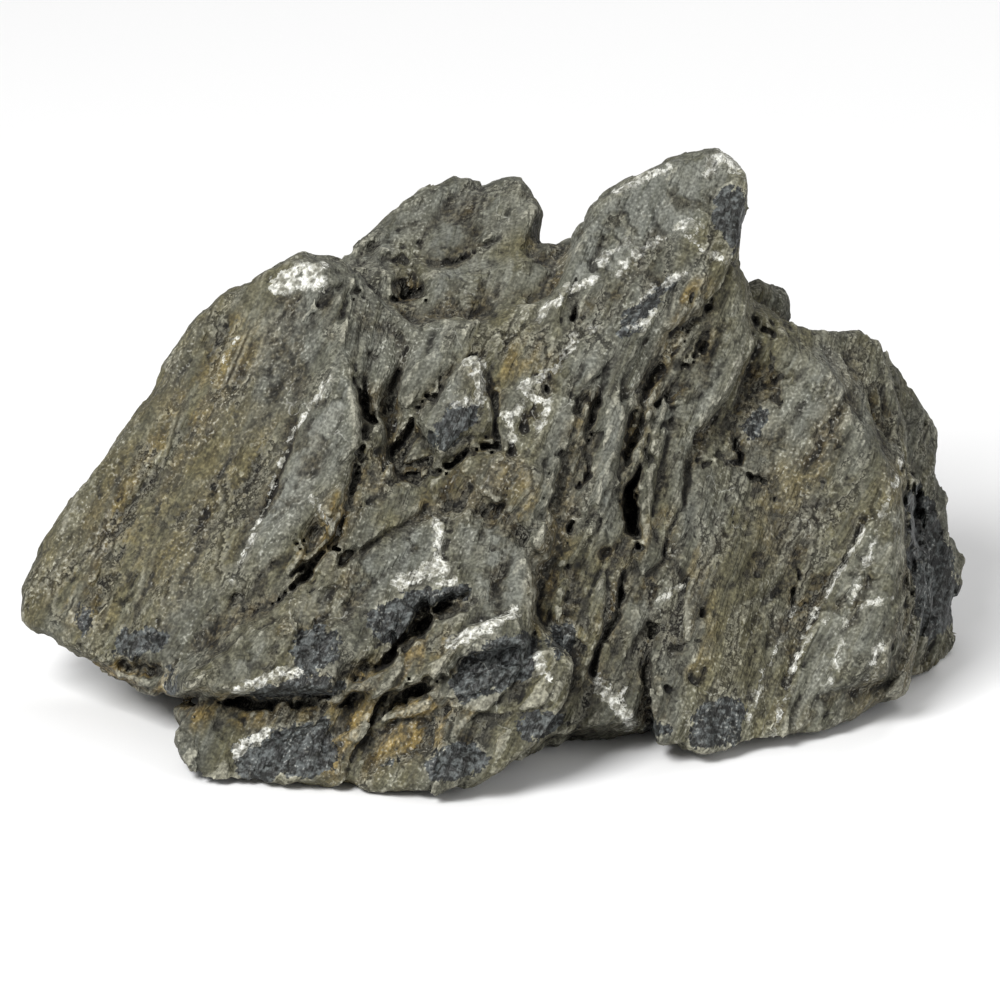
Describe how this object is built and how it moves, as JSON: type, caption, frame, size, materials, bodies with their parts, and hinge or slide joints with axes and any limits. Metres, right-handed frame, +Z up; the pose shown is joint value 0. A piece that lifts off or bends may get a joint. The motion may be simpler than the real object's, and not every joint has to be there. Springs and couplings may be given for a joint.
{
  "type": "slate aquascape stone",
  "caption": "Rugged layered slate stone with a slanting left slab, a raised central fin, deep cracks and a flat resting underside.",
  "frame": {"origin": "middle of the stone's bounding box at the ground, on the plane of its resting patches", "axes": "+X along the stone's width to the right of its broad face, +Y from the broad face towards the back, +Z up"},
  "size_m": [0.1894, 0.12, 0.1041],
  "materials": {
    "slate": "rough split slate, grey-green with ochre stains and white veins"
  },
  "bodies": {
    "root": {"stone": "slate"}
  },
  "joints": []
}
